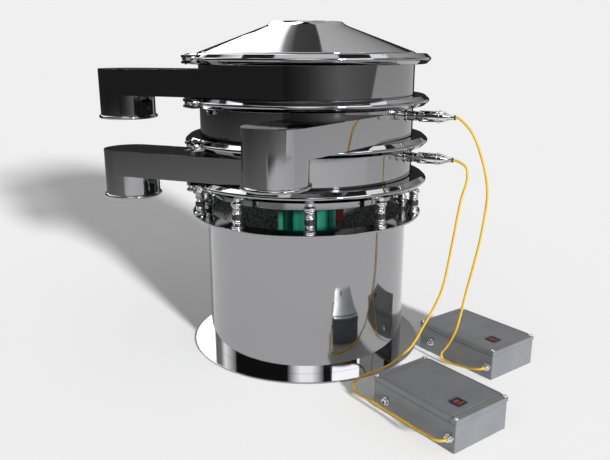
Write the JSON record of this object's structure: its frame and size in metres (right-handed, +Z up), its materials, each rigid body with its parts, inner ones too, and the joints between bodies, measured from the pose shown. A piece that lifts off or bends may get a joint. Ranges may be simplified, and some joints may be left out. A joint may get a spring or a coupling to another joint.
{
  "type": "vibrating sieve",
  "caption": "Round vibrating sieve on coil springs with stacked screen decks, clamped frames, tangential outlets, a conical lid and ultrasonic drive boxes on cables.",
  "frame": {"origin": "the machine's vertical axis at the underside of the base plate, on the floor", "axes": "+Z up; the camera of the picture looks along +Y; the drive boxes stand on the +X side"},
  "size_m": [1.205, 0.9988, 0.9211],
  "materials": {
    "polished_steel": "mirror-polished stainless steel",
    "spring_steel": "bright drawn wire",
    "nickel": "bright nickel plate",
    "green_paint": "semi-gloss green enamel",
    "red_paint": "semi-gloss dark red enamel",
    "cast_iron": "bare casting",
    "grey_paint": "satin grey powder coat",
    "black_plastic": "black moulding",
    "red_plastic": "dull red moulding",
    "yellow_cable": "yellow sheath"
  },
  "bodies": {
    "base": {"base_plate": "polished_steel", "base_drum": "polished_steel", "spring_ring": "polished_steel", "spring_1": "spring_steel", "spring_2": "spring_steel", "spring_3": "spring_steel", "spring_4": "spring_steel", "spring_5": "spring_steel", "spring_6": "spring_steel", "spring_7": "spring_steel", "spring_8": "spring_steel", "spring_9": "spring_steel", "spring_10": "spring_steel", "front_generator_case": "grey_paint", "front_generator_lid": "grey_paint", "front_switch_frame": "black_plastic", "front_cable_gland": "nickel", "front_spare_gland": "nickel", "rear_generator_case": "grey_paint", "rear_generator_lid": "grey_paint", "rear_switch_frame": "black_plastic", "rear_cable_gland": "nickel", "rear_spare_gland": "nickel", "upper_cable": "yellow_cable", "lower_cable": "yellow_cable"},
    "vibrating_frame": {"chassis": "polished_steel", "discharge_dome": "polished_steel", "bottom_frame": "polished_steel", "middle_frame": "polished_steel", "top_frame": "polished_steel", "bottom_outlet": "polished_steel", "middle_outlet": "polished_steel", "top_outlet": "polished_steel", "lid": "polished_steel", "lower_screen_frame": "polished_steel", "upper_screen_frame": "polished_steel", "lower_transducer": "polished_steel", "upper_transducer": "polished_steel", "chassis_clamp_ring": "polished_steel", "lower_clamp_ring": "polished_steel", "upper_clamp_ring": "polished_steel", "lid_clamp_ring": "polished_steel", "lower_mesh": "spring_steel", "upper_mesh": "spring_steel", "lower_socket": "nickel", "upper_socket": "nickel", "lower_plug": "nickel", "upper_plug": "nickel", "motor_housing": "green_paint", "motor_end_bell": "green_paint", "motor_terminal_box": "red_paint"},
    "rotor": {"motor_shaft": "spring_steel", "upper_eccentric_weight": "cast_iron"},
    "lower_weight": {"lower_eccentric_weight": "cast_iron"},
    "front_rocker": {"front_switch_rocker": "red_plastic"},
    "rear_rocker": {"rear_switch_rocker": "red_plastic"},
    "chassis_bolt": {"chassis_clamp_bolt": "nickel"},
    "lower_bolt": {"lower_clamp_bolt": "nickel"},
    "upper_bolt": {"upper_clamp_bolt": "nickel"},
    "lid_bolt": {"lid_clamp_bolt": "nickel"}
  },
  "joints": [
    {"name": "frame_bounce", "type": "slide", "parent": "base", "child": "vibrating_frame", "axis": [0, 0, 1], "range_m": [-0.004, 0.004], "stiffness_N_per_m": 80000, "springref_m": 0.01539, "deforming": ["spring_1", "spring_2", "spring_3", "spring_4", "spring_5", "spring_6", "spring_7", "spring_8", "spring_9", "spring_10"]},
    {"name": "motor_spin", "type": "hinge", "parent": "vibrating_frame", "child": "rotor", "pos_m": [0, 0, 0.35], "axis": [0, 0, 1], "continuous": true},
    {"name": "lead_angle", "type": "hinge", "parent": "rotor", "child": "lower_weight", "pos_m": [0, 0, 0.2207], "axis": [0, 0, 1], "range_deg": [-45, 45]},
    {"name": "chassis_bolt_swing", "type": "hinge", "parent": "vibrating_frame", "child": "chassis_bolt", "pos_m": [-0.30601, -0.17921, 0.4968], "axis": [0, 0, -1], "range_deg": [0, 100]},
    {"name": "lower_bolt_swing", "type": "hinge", "parent": "vibrating_frame", "child": "lower_bolt", "pos_m": [-0.30601, -0.17921, 0.606], "axis": [0, 0, -1], "range_deg": [0, 100]},
    {"name": "upper_bolt_swing", "type": "hinge", "parent": "vibrating_frame", "child": "upper_bolt", "pos_m": [-0.30601, -0.17921, 0.7152], "axis": [0, 0, -1], "range_deg": [0, 100]},
    {"name": "lid_bolt_swing", "type": "hinge", "parent": "vibrating_frame", "child": "lid_bolt", "pos_m": [-0.30601, -0.17921, 0.8244], "axis": [0, 0, -1], "range_deg": [0, 100]},
    {"name": "front_switch_tilt", "type": "hinge", "parent": "base", "child": "front_rocker", "pos_m": [0.33922, -0.57833, 0.0837], "axis": [0.8028, 0.5962, 0], "range_deg": [0, 16]},
    {"name": "rear_switch_tilt", "type": "hinge", "parent": "base", "child": "rear_rocker", "pos_m": [0.50877, -0.24141, 0.0837], "axis": [0.8002, 0.5997, 0], "range_deg": [0, 16]}
  ]
}
